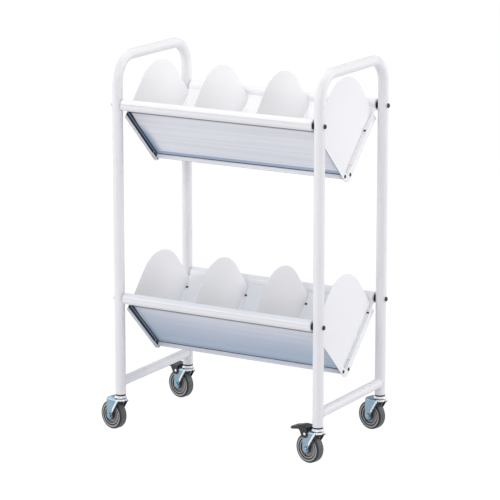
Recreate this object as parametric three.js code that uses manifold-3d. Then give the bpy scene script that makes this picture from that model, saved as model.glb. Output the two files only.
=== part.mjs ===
// Medical chart rack: two bent-tube side frames on swivel casters carry four rails,
// and two V-shaped sheet-metal troughs with rounded divider plates hang on the rails.
// Millimetres, +Z up, front towards -Y, origin on the floor under the centre of the rack.
import * as THREE from "three";
import { mergeVertices } from "three/addons/utils/BufferGeometryUtils.js";
import Module from "manifold-3d";

const wasm = await Module();
wasm.setup();

// Gap left wherever two separate pieces meet.
const FIT = 0.3;

// Frame tubes.
const LEG_SPACING_X = 578.4;
const LEG_SPACING_Y = 331.2;
const TUBE_DIAMETER = 27.2;
const TUBE_WALL = 1.6;
const BEND_RADIUS = 64;
const CROSS_TUBE_DIAMETER = 25.4;
const CROSS_TUBE_RISE = 31.4;
const HANDLE_RISE = 121;

// Rails and what bolts them to the legs.
const RAIL_DIAMETER = 27.2;
const RAIL_WALL = 1.6;
const PLUG_FLANGE = 2.4;
const PLUG_FLANGE_DIAMETER = 25;
const SPIGOT_LENGTH = 16;
const BOLT_DIAMETER = 6;
const BOLT_HEAD_DIAMETER = 12;
const BOLT_HEAD_HEIGHT = 4.5;
const BOLT_GRIP_END = 4;

// Troughs, folded from sheet.
const SHEET = 1.2;
const WALL_ANGLE = THREE.MathUtils.degToRad(44.3);
const WALL_OFFSET = 7.1;
const TROUGH_END_INSET = 11.1;
const END_FLANGE = 17.8;
const BOTTOM_FLANGE = 11;
const VALLEY_ROUNDING = 22;
const HOOK_END_ANGLE = THREE.MathUtils.degToRad(20);
const LEG_CLEARANCE = 2;
const LUG_REACH = 24;
const LUG_MARGIN = 2.5;
const TROUGH_CLEARANCE = 39.9;
const TIER_PITCH = 500;

// Divider plates.
const DIVIDER_COUNT = 4;
const DIVIDER_RISE = 94.4;
const CROWN_RADIUS = 111.6;
const SIDE_ANGLE = THREE.MathUtils.degToRad(48.4);
const SHOULDER_RADIUS = 9;
const TIP_RADIUS = 10;
const DIVIDER_FLANGE = 9;
const FLANGE_SETBACK = 22;

// Casters.
const WHEEL_DIAMETER = 75;
const TYRE_WIDTH = 23;
const HUB_DIAMETER = 50;
const TRAIL = 26;
const SWIVEL_HEADING = THREE.MathUtils.degToRad(166.7);
const AXLE_DIAMETER = 8;
const AXLE_HEAD_DIAMETER = 13;
const AXLE_HEAD_HEIGHT = 4;
const FORK_GAP = 30;
const FORK_SHEET = 2.5;
const FORK_EYE_RADIUS = 7.5;
const FORK_RIM = 2;
const CROWN_SHEET = 3;
const CROWN_GAP = 7.5;
const RACE_HEIGHT = 1.2;
const DISC_DIAMETER = 32;
const DISC_HEIGHT = 4;
const COLLAR_HEIGHT = 6.3;
const KINGPIN_DIAMETER = 9;
const KINGPIN_HEAD_DIAMETER = 14;
const KINGPIN_HEAD_HEIGHT = 3;
const STEM_LENGTH = 40;

// Brake pedals on two casters.
const PEDAL_REACH = 50;
const PEDAL_SHEET = 2.5;
const PEDAL_HEIGHT = 26;
const PEDAL_CLEARANCE = 0.6;
const PIVOT_DIAMETER = 6;
const PIVOT_DROP = 5.5;
const PAD_LENGTH = 10;
const PAD_WIDTH = 16;
const PAD_GAP = 5.5;

// Derived places.
const LEG_X = LEG_SPACING_X / 2;
const LEG_Y = LEG_SPACING_Y / 2;
const TUBE_R = TUBE_DIAMETER / 2;
const RAIL_R = RAIL_DIAMETER / 2;
const WHEEL_R = WHEEL_DIAMETER / 2;
const CROWN_UNDERSIDE = WHEEL_DIAMETER + CROWN_GAP;
const CROWN_TOP = CROWN_UNDERSIDE + CROWN_SHEET;
const RACE_TOP = CROWN_TOP + FIT + RACE_HEIGHT;
const DISC_TOP = RACE_TOP + DISC_HEIGHT;
const COLLAR_TOP = DISC_TOP + COLLAR_HEIGHT;
const LEG_BOTTOM = COLLAR_TOP + FIT;
const CROSS_TUBE_HEIGHT = LEG_BOTTOM + CROSS_TUBE_RISE;

// Trough section: u runs outwards from the middle plane, w upwards from the rail axis.
// A wall point lies `s` down the slope from the rail axis and `offset` towards the inside.
const COS = Math.cos(WALL_ANGLE);
const SIN = Math.sin(WALL_ANGLE);
const INNER_FACE = WALL_OFFSET;
const OUTER_FACE = WALL_OFFSET - SHEET;
const FLANGE_EDGE = OUTER_FACE - END_FLANGE;
const wallPoint = (s, offset) =>
  new THREE.Vector2(LEG_Y - COS * s - SIN * offset, COS * offset - SIN * s);
const slopeAt = (u, offset) => (LEG_Y - SIN * offset - u) / COS;
const valleyHeight = (offset) => offset / COS - LEG_Y * Math.tan(WALL_ANGLE);
const VALLEY_CENTRE = valleyHeight(FLANGE_EDGE) + VALLEY_ROUNDING / COS;
const VALLEY_DEPTH = VALLEY_ROUNDING - VALLEY_CENTRE;

const LOWER_RAIL =
  CROSS_TUBE_HEIGHT + CROSS_TUBE_DIAMETER / 2 + TROUGH_CLEARANCE + VALLEY_DEPTH;
const UPPER_RAIL = LOWER_RAIL + TIER_PITCH;
const HANDLE_HEIGHT = UPPER_RAIL + HANDLE_RISE;
const RAIL_END = LEG_X - TUBE_R - PLUG_FLANGE - 2 * FIT;
const TROUGH_END = LEG_X - TROUGH_END_INSET;
const HOOK_END = RAIL_END - FIT;

// Facets: segments per half turn of a tube, steps per bend, sides of turned pieces.
const TUBE_ARC = 8;
const HOLE_ARC = 4;
const BEND_STEPS = 5;
const ROUND_ARC = 6;
const CROWN_ARC = 14;
const TYRE_SIDES = 28;
const TURNED_SIDES = 14;
const BOLT_SIDES = 10;

// Colour, roughness and metalness of each finish.
const FINISHES = {
  powder_coat: [0xf1f1f4, 0.42, 0],
  black_plastic: [0x17171a, 0.55, 0],
  zinc: [0xb9c4d2, 0.3, 1],
  core: [0x8d8a8d, 0.5, 0],
  tyre: [0x55575a, 0.75, 0],
  black_steel: [0x1b1c1f, 0.45, 0],
};

const rack = new THREE.Group();
rack.name = "medical_chart_rack";

function group(parent, x, y, z, turn = 0) {
  const made = new THREE.Group();
  made.position.set(x, y, z);
  made.rotation.z = turn;
  parent.add(made);
  return made;
}

function piece(parent, name, finish, geometry) {
  const [color, roughness, metalness] = FINISHES[finish];
  const material = new THREE.MeshStandardMaterial({ color, roughness, metalness });
  const mesh = new THREE.Mesh(geometry, material);
  mesh.name = name;
  parent.add(mesh);
}

// A closed geometry as a solid that can be joined and cut.
function solid(geometry) {
  const bare = geometry.clone();
  bare.deleteAttribute("normal");
  bare.deleteAttribute("uv");
  const merged = mergeVertices(bare, 1e-4);
  const shell = new wasm.Mesh({
    numProp: 3,
    vertProperties: new Float32Array(merged.attributes.position.array),
    triVerts: new Uint32Array(merged.index.array),
  });
  return new wasm.Manifold(shell);
}

function surface(body) {
  const shell = body.getMesh();
  const geometry = new THREE.BufferGeometry();
  geometry.setAttribute("position", new THREE.BufferAttribute(shell.vertProperties, 3));
  geometry.setIndex(new THREE.BufferAttribute(shell.triVerts, 1));
  const faceted = geometry.toNonIndexed();
  faceted.computeVertexNormals();
  return faceted;
}

const join = (...shapes) => shapes.map(solid).reduce((whole, next) => whole.add(next));
const cut = (body, ...tools) => tools.map(solid).reduce((rest, tool) => rest.subtract(tool), body);

// A flat outline whose corners are given as [x, y, radius].
function rounded(corners, usualSteps = ROUND_ARC) {
  const points = [];
  corners.forEach(([x, y, radius = 0, arcSteps = usualSteps], i) => {
    const [px, py] = corners[(i + corners.length - 1) % corners.length];
    const [nx, ny] = corners[(i + 1) % corners.length];
    const corner = new THREE.Vector2(x, y);
    const back = new THREE.Vector2(px - x, py - y).normalize();
    const ahead = new THREE.Vector2(nx - x, ny - y).normalize();
    if (radius === 0) {
      points.push(corner);
      return;
    }
    const half = Math.acos(THREE.MathUtils.clamp(back.dot(ahead), -1, 1)) / 2;
    const middle = back.clone().add(ahead).normalize();
    const centre = corner.clone().addScaledVector(middle, radius / Math.sin(half));
    const start = corner.clone().addScaledVector(back, radius / Math.tan(half)).sub(centre);
    const sweep = Math.sign(back.cross(ahead)) * (Math.PI - 2 * half);
    for (let step = 0; step <= arcSteps; step += 1) {
      const turn = (-sweep * step) / arcSteps;
      points.push(start.clone().rotateAround(new THREE.Vector2(), turn).add(centre));
    }
  });
  return points;
}

function arc(radius, from, to, steps, centreX = 0, centreY = 0) {
  const at = (i) => from + ((to - from) * i) / steps;
  return Array.from({ length: steps + 1 }, (_, i) =>
    new THREE.Vector2(centreX + radius * Math.cos(at(i)), centreY + radius * Math.sin(at(i))),
  );
}

// Prisms: an outline in a plane, carried from `low` to `high` along the plane's normal.
const EXTRUDE = { bevelEnabled: false, curveSegments: TUBE_ARC };
const DRILL = { ...EXTRUDE, curveSegments: HOLE_ARC };
const along = {
  x: new THREE.Matrix4().makeBasis(
    new THREE.Vector3(0, 1, 0), new THREE.Vector3(0, 0, 1), new THREE.Vector3(1, 0, 0)),
  y: new THREE.Matrix4().makeBasis(
    new THREE.Vector3(0, 0, 1), new THREE.Vector3(1, 0, 0), new THREE.Vector3(0, 1, 0)),
  z: new THREE.Matrix4(),
};
function prism(axis, outline, low, high, settings = EXTRUDE) {
  const shape = outline instanceof THREE.Shape ? outline : new THREE.Shape(outline);
  const geometry = new THREE.ExtrudeGeometry(shape, { ...settings, depth: high - low });
  return geometry.translate(0, 0, low).applyMatrix4(along[axis]);
}

// Upright outlines for prisms along Y are written as (x, z) and stored as (z, x).
const upright = (points) => points.map((p) => new THREE.Vector2(p.y, p.x));

function ring(diameter, wall) {
  const section = new THREE.Shape().absarc(0, 0, diameter / 2, 0, 2 * Math.PI);
  section.holes.push(new THREE.Path().absarc(0, 0, diameter / 2 - wall, 0, 2 * Math.PI, true));
  return section;
}

const disc = (diameter) => new THREE.Shape().absarc(0, 0, diameter / 2, 0, 2 * Math.PI);
const rod = (axis, diameter, low, high) => prism(axis, disc(diameter), low, high);
const FLATS = 1 / Math.cos(Math.PI / (2 * HOLE_ARC));
const drill = (axis, diameter, low, high) =>
  prism(axis, disc(diameter * FLATS), low, high, DRILL);

// Turned pieces: a profile of [radius, height] revolved about the Z or the Y axis.
function turned(profile, sides = TURNED_SIDES, axis = "z") {
  const points = profile.map(([r, h]) => new THREE.Vector2(r, h));
  const geometry = new THREE.LatheGeometry(points, sides, Math.PI / sides);
  return axis === "y" ? geometry : geometry.rotateX(Math.PI / 2);
}

// A tube's centre line as exact stations, so straight runs take one step each.
class StationPath extends THREE.Curve {
  constructor(stations) {
    super();
    this.stations = stations;
  }
  station(u) {
    return this.stations[Math.round(u * (this.stations.length - 1))];
  }
  getPoint(u, target = new THREE.Vector3()) {
    return target.copy(this.station(u).point);
  }
  getPointAt(u, target) {
    return this.getPoint(u, target);
  }
  getTangentAt(u, target = new THREE.Vector3()) {
    return target.copy(this.station(u).tangent);
  }
}

// Side frame: one tube bent into an upside-down U in the YZ plane, drilled for the rail bolts.
function sideFrame() {
  const station = (y, z, turn) => ({
    point: new THREE.Vector3(0, y, z),
    tangent: new THREE.Vector3(0, Math.sin(turn), Math.cos(turn)),
  });
  const bend = (side) =>
    Array.from({ length: BEND_STEPS + 1 }, (_, i) => {
      const turn = ((side + 1) / 2 + i / BEND_STEPS) * (Math.PI / 2);
      const y = side * (LEG_Y - BEND_RADIUS) - BEND_RADIUS * Math.cos(turn);
      const z = HANDLE_HEIGHT - BEND_RADIUS + BEND_RADIUS * Math.sin(turn);
      return station(y, z, turn);
    });
  const path = new StationPath([
    station(-LEG_Y, LEG_BOTTOM, 0),
    ...bend(-1),
    ...bend(1),
    station(LEG_Y, LEG_BOTTOM, Math.PI),
  ]);
  const steps = path.stations.length - 1;
  const section = ring(TUBE_DIAMETER, TUBE_WALL);
  const tube = new THREE.ExtrudeGeometry(section, { ...EXTRUDE, steps, extrudePath: path });
  const holes = [LOWER_RAIL, UPPER_RAIL].flatMap((z) =>
    [-LEG_Y, LEG_Y].map((y) =>
      drill("x", BOLT_DIAMETER + 2 * FIT, -TUBE_DIAMETER, TUBE_DIAMETER).translate(0, y, z),
    ),
  );
  return surface(cut(solid(tube), ...holes));
}

// Cross tube: welded between the two legs of a frame, its ends coped to their round.
function crossTube() {
  const tube = prism("y", ring(CROSS_TUBE_DIAMETER, TUBE_WALL), -LEG_Y, LEG_Y);
  const cope = (y) =>
    rod("z", TUBE_DIAMETER + 2 * FIT, -TUBE_DIAMETER, TUBE_DIAMETER).translate(0, y, 0);
  return surface(cut(solid(tube), cope(-LEG_Y), cope(LEG_Y)));
}

// End plug: closes the rail's end with a flat flange that bears on the round of the leg.
function endPlug() {
  const spigot = RAIL_R - RAIL_WALL - FIT;
  const flange = PLUG_FLANGE_DIAMETER / 2;
  const bore = BOLT_DIAMETER / 2 + FIT;
  return turned([
    [bore, -SPIGOT_LENGTH],
    [spigot - 1, -SPIGOT_LENGTH],
    [spigot, -SPIGOT_LENGTH + 1],
    [spigot, FIT],
    [flange, FIT],
    [flange, FIT + PLUG_FLANGE],
    [bore, FIT + PLUG_FLANGE],
    [bore, -SPIGOT_LENGTH],
  ]).rotateY(Math.PI / 2);
}

// Rail bolt: a domed head outside the leg, its shank through the leg and the end plug.
function railBolt() {
  const shank = BOLT_DIAMETER / 2;
  const head = BOLT_HEAD_DIAMETER / 2;
  const seat = PLUG_FLANGE + TUBE_DIAMETER + 3 * FIT;
  const profile = [
    [0, -SPIGOT_LENGTH - BOLT_GRIP_END],
    [shank, -SPIGOT_LENGTH - BOLT_GRIP_END],
    [shank, seat],
    [head, seat],
    [head, seat + BOLT_HEAD_HEIGHT * 0.5],
    [head * 0.75, seat + BOLT_HEAD_HEIGHT * 0.85],
    [0, seat + BOLT_HEAD_HEIGHT],
  ];
  return turned(profile, BOLT_SIDES).rotateY(Math.PI / 2);
}

// Trough wall: hooked over its rail, folded outwards along both ends and along the valley.
// `side` is -1 for the front wall and 1 for the back wall, which carries the joining lugs.
function troughWall(side) {
  const place = (points) => points.map((p) => new THREE.Vector2(side * p.x, p.y));
  const hookInner = RAIL_R + FIT;
  const hookOuter = hookInner + SHEET;
  const meets = (radius, offset) => Math.PI + WALL_ANGLE - Math.asin(offset / radius);
  const foot = FIT / 2;
  const hook = [
    ...arc(hookInner, HOOK_END_ANGLE, meets(hookInner, OUTER_FACE), 2 * ROUND_ARC, LEG_Y),
    wallPoint(slopeAt(foot, OUTER_FACE), OUTER_FACE),
    wallPoint(slopeAt(foot, INNER_FACE), INNER_FACE),
    ...arc(hookOuter, meets(hookOuter, INNER_FACE), HOOK_END_ANGLE, 2 * ROUND_ARC, LEG_Y),
  ];
  const legSide = LEG_Y - TUBE_R - LEG_CLEARANCE;
  const wall = [
    wallPoint(slopeAt(legSide, OUTER_FACE), OUTER_FACE),
    wallPoint(slopeAt(foot, OUTER_FACE), OUTER_FACE),
    wallPoint(slopeAt(foot, INNER_FACE), INNER_FACE),
    wallPoint(slopeAt(legSide, OUTER_FACE), INNER_FACE),
  ];
  const bottom = slopeAt(foot, OUTER_FACE);
  const valleyFlange = [
    wallPoint(bottom - SHEET, OUTER_FACE + SHEET / 2),
    wallPoint(bottom - SHEET, OUTER_FACE - BOTTOM_FLANGE),
    wallPoint(bottom, OUTER_FACE - BOTTOM_FLANGE),
    wallPoint(bottom, OUTER_FACE),
  ];
  const topOfFlange = slopeAt(legSide, FLANGE_EDGE);
  const lowest = -Math.PI / 2 + Math.asin(foot / VALLEY_ROUNDING);
  const endFlange = [
    wallPoint(topOfFlange, (OUTER_FACE + INNER_FACE) / 2),
    wallPoint(topOfFlange, FLANGE_EDGE),
    ...arc(VALLEY_ROUNDING, WALL_ANGLE - Math.PI / 2, lowest, ROUND_ARC, 0, VALLEY_CENTRE),
    wallPoint(slopeAt(foot, OUTER_FACE), OUTER_FACE),
    wallPoint(slopeAt(foot, INNER_FACE) - SHEET, (OUTER_FACE + INNER_FACE) / 2),
  ];
  const lugFace = TROUGH_END - SHEET - FIT;
  const valleyEnd = lugFace - SHEET - FIT;
  const parts = [
    prism("x", place(hook), -HOOK_END, HOOK_END),
    prism("x", place(wall), -TROUGH_END, TROUGH_END),
    prism("x", place(valleyFlange), -valleyEnd, valleyEnd),
    prism("x", place(endFlange), TROUGH_END - SHEET, TROUGH_END),
    prism("x", place(endFlange), -TROUGH_END, SHEET - TROUGH_END),
  ];
  if (side > 0) parts.push(...joiningLugs(lugFace));
  return surface(join(...parts));
}

// Joining lugs: at each end of the valley a plate reaches behind the front wall's end flange.
function joiningLugs(face) {
  const top = OUTER_FACE - LUG_MARGIN;
  const edge = FLANGE_EDGE + LUG_MARGIN;
  const radius = VALLEY_ROUNDING - LUG_MARGIN;
  const reach = slopeAt(LUG_REACH, edge);
  const half = [
    wallPoint(reach, top),
    wallPoint(reach, edge),
    ...arc(radius, WALL_ANGLE - Math.PI / 2, -Math.PI / 2, ROUND_ARC / 2, 0, VALLEY_CENTRE),
  ];
  const mirrored = half.map((p) => new THREE.Vector2(-p.x, p.y)).reverse().slice(1);
  const lug = [...half, ...mirrored, new THREE.Vector2(0, valleyHeight(top))];
  const own = [...half, new THREE.Vector2(0, valleyHeight(top))].map(
    (p) => new THREE.Vector2(Math.max(p.x, FIT / 2), p.y),
  );
  const outside = TROUGH_END - SHEET / 2;
  return [
    prism("x", lug, face - SHEET, face),
    prism("x", lug, -face, SHEET - face),
    prism("x", own, face - SHEET / 2, outside),
    prism("x", own, -outside, SHEET / 2 - face),
  ];
}

// Divider: a kite with a broad round crown, its lower edges seated between the trough's walls,
// with a flange along the back edge that lies on the back wall.
function divider() {
  const seat = INNER_FACE + FIT;
  const peak = DIVIDER_RISE + CROWN_RADIUS * (1 / Math.cos(SIDE_ANGLE) - 1);
  const tip = valleyHeight(seat);
  const shoulder = (peak - tip) / (Math.tan(WALL_ANGLE) + Math.tan(SIDE_ANGLE));
  const shoulderHeight = tip + shoulder * Math.tan(WALL_ANGLE);
  const kite = rounded([
    [0, peak, CROWN_RADIUS, CROWN_ARC],
    [-shoulder, shoulderHeight, SHOULDER_RADIUS],
    [0, tip, TIP_RADIUS],
    [shoulder, shoulderHeight, SHOULDER_RADIUS],
  ]);
  const high = slopeAt(shoulder - FLANGE_SETBACK, seat);
  const low = slopeAt(FLANGE_SETBACK, seat);
  const flange = [
    wallPoint(high, seat),
    wallPoint(high, seat + SHEET),
    wallPoint(low, seat + SHEET),
    wallPoint(low, seat),
  ];
  return surface(
    join(prism("x", kite, 0, SHEET), prism("x", flange, 0, DIVIDER_FLANGE)),
  );
}

// Caster stem: a plug in the leg, a collar, the upper race disc and the riveted kingpin.
function casterStem() {
  const kingpin = KINGPIN_DIAMETER / 2;
  const head = KINGPIN_HEAD_DIAMETER / 2;
  const race = DISC_DIAMETER / 2;
  const plug = TUBE_R - TUBE_WALL - FIT;
  const headTop = CROWN_UNDERSIDE - FIT;
  return turned([
    [0, headTop - KINGPIN_HEAD_HEIGHT],
    [head * 0.6, headTop - KINGPIN_HEAD_HEIGHT],
    [head, headTop - KINGPIN_HEAD_HEIGHT * 0.5],
    [head, headTop],
    [kingpin, headTop],
    [kingpin, CROWN_TOP + FIT],
    [race * 0.75, CROWN_TOP + FIT],
    [race * 0.75, RACE_TOP],
    [race, RACE_TOP],
    [race, RACE_TOP + DISC_HEIGHT * 0.4],
    [TUBE_R, DISC_TOP],
    [TUBE_R, COLLAR_TOP],
    [plug, COLLAR_TOP],
    [plug, COLLAR_TOP + STEM_LENGTH - 2],
    [plug - 2, COLLAR_TOP + STEM_LENGTH],
    [0, COLLAR_TOP + STEM_LENGTH],
  ]);
}

// Fork: a pressed crown and two tapering cheeks with turned-out front edges.
// In a caster's own frame +X points along the trail and the axle lies along Y.
function fork(braked) {
  const inner = FORK_GAP / 2;
  const outer = inner + FORK_SHEET;
  const front = -DISC_DIAMETER / 2;
  const back = TRAIL + FORK_EYE_RADIUS;
  const eyeBottom = WHEEL_R - FORK_EYE_RADIUS;
  const cheekFront = -TRAIL * 0.3;
  const crown = rounded([
    [front, -outer, outer * 0.8],
    [back, -outer, FORK_SHEET],
    [back, outer, FORK_SHEET],
    [front, outer, outer * 0.8],
  ], 4);
  const eyeFront = TRAIL - FORK_EYE_RADIUS;
  const cheek = upright(rounded([
    [cheekFront, CROWN_TOP],
    [back, CROWN_TOP],
    [back, eyeBottom, FORK_EYE_RADIUS - 0.5],
    [eyeFront, eyeBottom, FORK_EYE_RADIUS - 0.5],
    [eyeFront, WHEEL_R],
    [cheekFront, CROWN_UNDERSIDE],
  ], 4));
  const rimEnd = AXLE_HEAD_DIAMETER / (CROWN_UNDERSIDE - WHEEL_R);
  const rimFoot = new THREE.Vector2(
    THREE.MathUtils.lerp(eyeFront, cheekFront, rimEnd),
    WHEEL_R + AXLE_HEAD_DIAMETER,
  );
  const rim = upright([
    new THREE.Vector2(cheekFront, CROWN_TOP),
    new THREE.Vector2(cheekFront + FORK_SHEET, CROWN_TOP),
    new THREE.Vector2(cheekFront + FORK_SHEET, CROWN_UNDERSIDE),
    new THREE.Vector2(rimFoot.x + FORK_SHEET, rimFoot.y),
    rimFoot,
    new THREE.Vector2(cheekFront, CROWN_UNDERSIDE),
  ]);
  const parts = [
    prism("z", crown, CROWN_UNDERSIDE, CROWN_TOP),
    prism("y", cheek, inner, outer),
    prism("y", cheek, -outer, -inner),
    prism("y", rim, outer - FORK_SHEET / 2, outer + FORK_RIM),
    prism("y", rim, -outer - FORK_RIM, FORK_SHEET / 2 - outer),
  ];
  if (braked) {
    const reach = outer + PEDAL_CLEARANCE + PEDAL_SHEET;
    const pivot = (low, high) =>
      drill("y", PIVOT_DIAMETER, low, high).translate(TRAIL, 0, CROWN_UNDERSIDE - PIVOT_DROP);
    parts.push(pivot(inner, reach), pivot(-reach, -inner));
  }
  const bore = drill("y", AXLE_DIAMETER + 2 * FIT, -outer - 1, outer + 1);
  const eye = drill("z", KINGPIN_DIAMETER + 2 * FIT, CROWN_UNDERSIDE - 1, CROWN_TOP + 1);
  return surface(cut(join(...parts), bore.translate(TRAIL, 0, WHEEL_R), eye));
}

// Axle: a through bolt with a head on each side of the fork.
function axle() {
  const shank = AXLE_DIAMETER / 2;
  const head = AXLE_HEAD_DIAMETER / 2;
  const seat = FORK_GAP / 2 + FORK_SHEET + FIT;
  const half = [
    [shank, seat],
    [head, seat],
    [head, seat + AXLE_HEAD_HEIGHT * 0.7],
    [head * 0.7, seat + AXLE_HEAD_HEIGHT],
    [0, seat + AXLE_HEAD_HEIGHT],
  ];
  const lower = half.map(([r, y]) => [r, -y]).reverse();
  return turned([...lower, ...half], BOLT_SIDES, "y");
}

// Wheel core: a boss on the axle, a dished web and a rim under the tyre.
function wheelCore() {
  const bore = AXLE_DIAMETER / 2 + FIT;
  const boss = FORK_GAP / 2 - 1;
  const rim = HUB_DIAMETER / 2;
  const rimFace = TYRE_WIDTH / 2 - 1;
  const half = [
    [rim, rimFace],
    [rim * 0.86, rimFace],
    [rim * 0.78, rimFace * 0.65],
    [rim * 0.42, rimFace * 0.7],
    [rim * 0.38, boss],
    [bore, boss],
  ];
  const lower = half.map(([r, y]) => [r, -y]).reverse();
  return turned([...lower, ...half, lower[0]], TURNED_SIDES, "y");
}

// Tyre: a solid ring with round shoulders; its facets' flats, not their edges, lie at the radius.
function tyre() {
  const flat = 1 / Math.cos(Math.PI / TYRE_SIDES);
  const bore = HUB_DIAMETER / 2 + FIT;
  const face = TYRE_WIDTH / 2;
  const depth = WHEEL_R - bore;
  const half = [
    [WHEEL_R * flat, face * 0.55],
    [WHEEL_R * flat - depth * 0.06, face * 0.78],
    [WHEEL_R * flat - depth * 0.24, face * 0.97],
    [WHEEL_R * flat - depth * 0.5, face],
    [bore * flat, face - 1.5],
  ];
  const lower = half.map(([r, y]) => [r, -y]).reverse();
  return turned([...lower, ...half, lower[0]], TYRE_SIDES, "y");
}

// Brake pedal: a channel that straddles the fork, pivots on its studs and ends in a foot plate.
const PEDAL_INNER = FORK_GAP / 2 + FORK_SHEET + PEDAL_CLEARANCE;
const PEDAL_OUTER = PEDAL_INNER + PEDAL_SHEET;
const PEDAL_TOP = DISC_TOP + PEDAL_SHEET;
const PAD_X = TRAIL + WHEEL_R / 2;
function pedal() {
  const pivotZ = CROWN_UNDERSIDE - PIVOT_DROP;
  const tip = TRAIL + PEDAL_REACH;
  const low = PEDAL_TOP - PEDAL_HEIGHT;
  const heel = DISC_DIAMETER / 2 + 1.5;
  const side = upright(rounded([
    [heel, PEDAL_TOP, 4],
    [heel, pivotZ - 2, 3],
    [TRAIL - 5, low, 4],
    [TRAIL + 8, low, 5],
    [TRAIL + PEDAL_REACH * 0.42, PEDAL_TOP - 11, 6],
    [tip, PEDAL_TOP - 10.5, 2],
    [tip, PEDAL_TOP - 6, 2],
    [tip - PEDAL_REACH * 0.45, PEDAL_TOP, 12],
  ], 4));
  const roof = PEDAL_TOP - PEDAL_SHEET * 1.4;
  const hollow = upright([
    new THREE.Vector2(0, low - 1),
    new THREE.Vector2(0, roof),
    new THREE.Vector2(PAD_X + PAD_LENGTH, roof),
    new THREE.Vector2(PAD_X + PAD_LENGTH, low - 1),
  ]);
  const stud = drill("y", PIVOT_DIAMETER + 2 * FIT, -PEDAL_OUTER - 1, PEDAL_OUTER + 1);
  return surface(
    cut(
      solid(prism("y", side, -PEDAL_OUTER, PEDAL_OUTER)),
      prism("y", hollow, -PEDAL_INNER, PEDAL_INNER),
      stud.translate(TRAIL, 0, pivotZ),
    ),
  );
}

// Brake pad: a rubber block under the pedal's roof, just clear of the tyre.
function brakePad() {
  const roof = PEDAL_TOP - PEDAL_SHEET * 1.4 - FIT;
  const reach = WHEEL_R + PAD_GAP;
  const treadAt = (x) => WHEEL_R + Math.sqrt(reach * reach - (x - TRAIL) * (x - TRAIL));
  const near = PAD_X - PAD_LENGTH / 2;
  const far = PAD_X + PAD_LENGTH / 2;
  const outline = upright([
    new THREE.Vector2(near, roof),
    new THREE.Vector2(near, treadAt(near)),
    new THREE.Vector2(PAD_X, treadAt(PAD_X)),
    new THREE.Vector2(far, treadAt(far)),
    new THREE.Vector2(far, roof),
  ]);
  return prism("y", outline, -PAD_WIDTH / 2, PAD_WIDTH / 2);
}

const SIDES = { left: -1, right: 1 };
const ENDS = { front: -1, back: 1 };
const TIERS = { lower: LOWER_RAIL, upper: UPPER_RAIL };

for (const [side, sx] of Object.entries(SIDES)) {
  const frame = group(rack, sx * LEG_X, 0, 0);
  piece(frame, `side_frame_${side}`, "powder_coat", sideFrame());
  const crossing = group(frame, 0, 0, CROSS_TUBE_HEIGHT);
  piece(crossing, `cross_tube_${side}`, "powder_coat", crossTube());
}

for (const [tier, height] of Object.entries(TIERS)) {
  const trough = group(rack, 0, 0, height);
  for (const [end, sy] of Object.entries(ENDS)) {
    const rail = group(trough, 0, sy * LEG_Y, 0);
    const tube = prism("x", ring(RAIL_DIAMETER, RAIL_WALL), -RAIL_END, RAIL_END);
    piece(rail, `${tier}_rail_${end}`, "powder_coat", tube);
    for (const [side, sx] of Object.entries(SIDES)) {
      const joint = group(rail, sx * RAIL_END, 0, 0, sx > 0 ? 0 : Math.PI);
      piece(joint, `${tier}_plug_${end}_${side}`, "black_plastic", endPlug());
      piece(joint, `${tier}_bolt_${end}_${side}`, "black_steel", railBolt());
    }
    piece(trough, `${tier}_trough_${end}_wall`, "powder_coat", troughWall(sy));
  }
  const outermost = TROUGH_END - DIVIDER_FLANGE;
  for (let i = 0; i < DIVIDER_COUNT; i += 1) {
    const share = (2 * i) / (DIVIDER_COUNT - 1) - 1;
    const plate = group(trough, share * outermost, 0, 0);
    piece(plate, `${tier}_divider_${i + 1}`, "powder_coat", divider());
  }
}

for (const [end, sy] of Object.entries(ENDS)) {
  for (const [side, sx] of Object.entries(SIDES)) {
    const place = `${end}_${side}`;
    const braked = sx * sy < 0;
    const caster = group(rack, sx * LEG_X, sy * LEG_Y, 0, SWIVEL_HEADING);
    piece(caster, `caster_stem_${place}`, "zinc", casterStem());
    piece(caster, `caster_fork_${place}`, "zinc", fork(braked));
    const wheel = group(caster, TRAIL, 0, WHEEL_R);
    piece(wheel, `caster_axle_${place}`, "zinc", axle());
    piece(wheel, `wheel_core_${place}`, "core", wheelCore());
    piece(wheel, `tyre_${place}`, "tyre", tyre());
    if (braked) {
      piece(caster, `brake_pedal_${place}`, "black_steel", pedal());
      piece(caster, `brake_pad_${place}`, "tyre", brakePad());
    }
  }
}

export default rack;
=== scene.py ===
# %% [markdown]
# A two-tier chart rack on casters, dressed for a studio picture.
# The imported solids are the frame: they fix every size and every joint, and nothing here moves them.
# Where a solid's facets would show, a smooth surface worked out with numpy takes its place.

# %% Load the frame
import math

import bmesh
import bpy
import numpy as np
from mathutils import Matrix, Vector


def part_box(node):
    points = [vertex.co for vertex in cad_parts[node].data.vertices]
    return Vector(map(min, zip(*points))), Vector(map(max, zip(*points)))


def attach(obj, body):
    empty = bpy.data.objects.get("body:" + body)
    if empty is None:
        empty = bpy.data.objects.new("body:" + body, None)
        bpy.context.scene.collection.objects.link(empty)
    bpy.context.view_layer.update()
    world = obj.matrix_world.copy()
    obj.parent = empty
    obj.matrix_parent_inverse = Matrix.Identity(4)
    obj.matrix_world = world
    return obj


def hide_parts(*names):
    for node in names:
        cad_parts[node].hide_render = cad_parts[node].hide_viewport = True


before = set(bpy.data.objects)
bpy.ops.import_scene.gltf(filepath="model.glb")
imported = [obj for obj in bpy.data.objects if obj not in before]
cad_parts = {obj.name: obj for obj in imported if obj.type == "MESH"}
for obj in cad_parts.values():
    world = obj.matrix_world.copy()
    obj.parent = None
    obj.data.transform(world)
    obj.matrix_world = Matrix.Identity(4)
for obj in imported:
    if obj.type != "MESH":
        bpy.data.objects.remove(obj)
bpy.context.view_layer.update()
scene = bpy.context.scene

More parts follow.
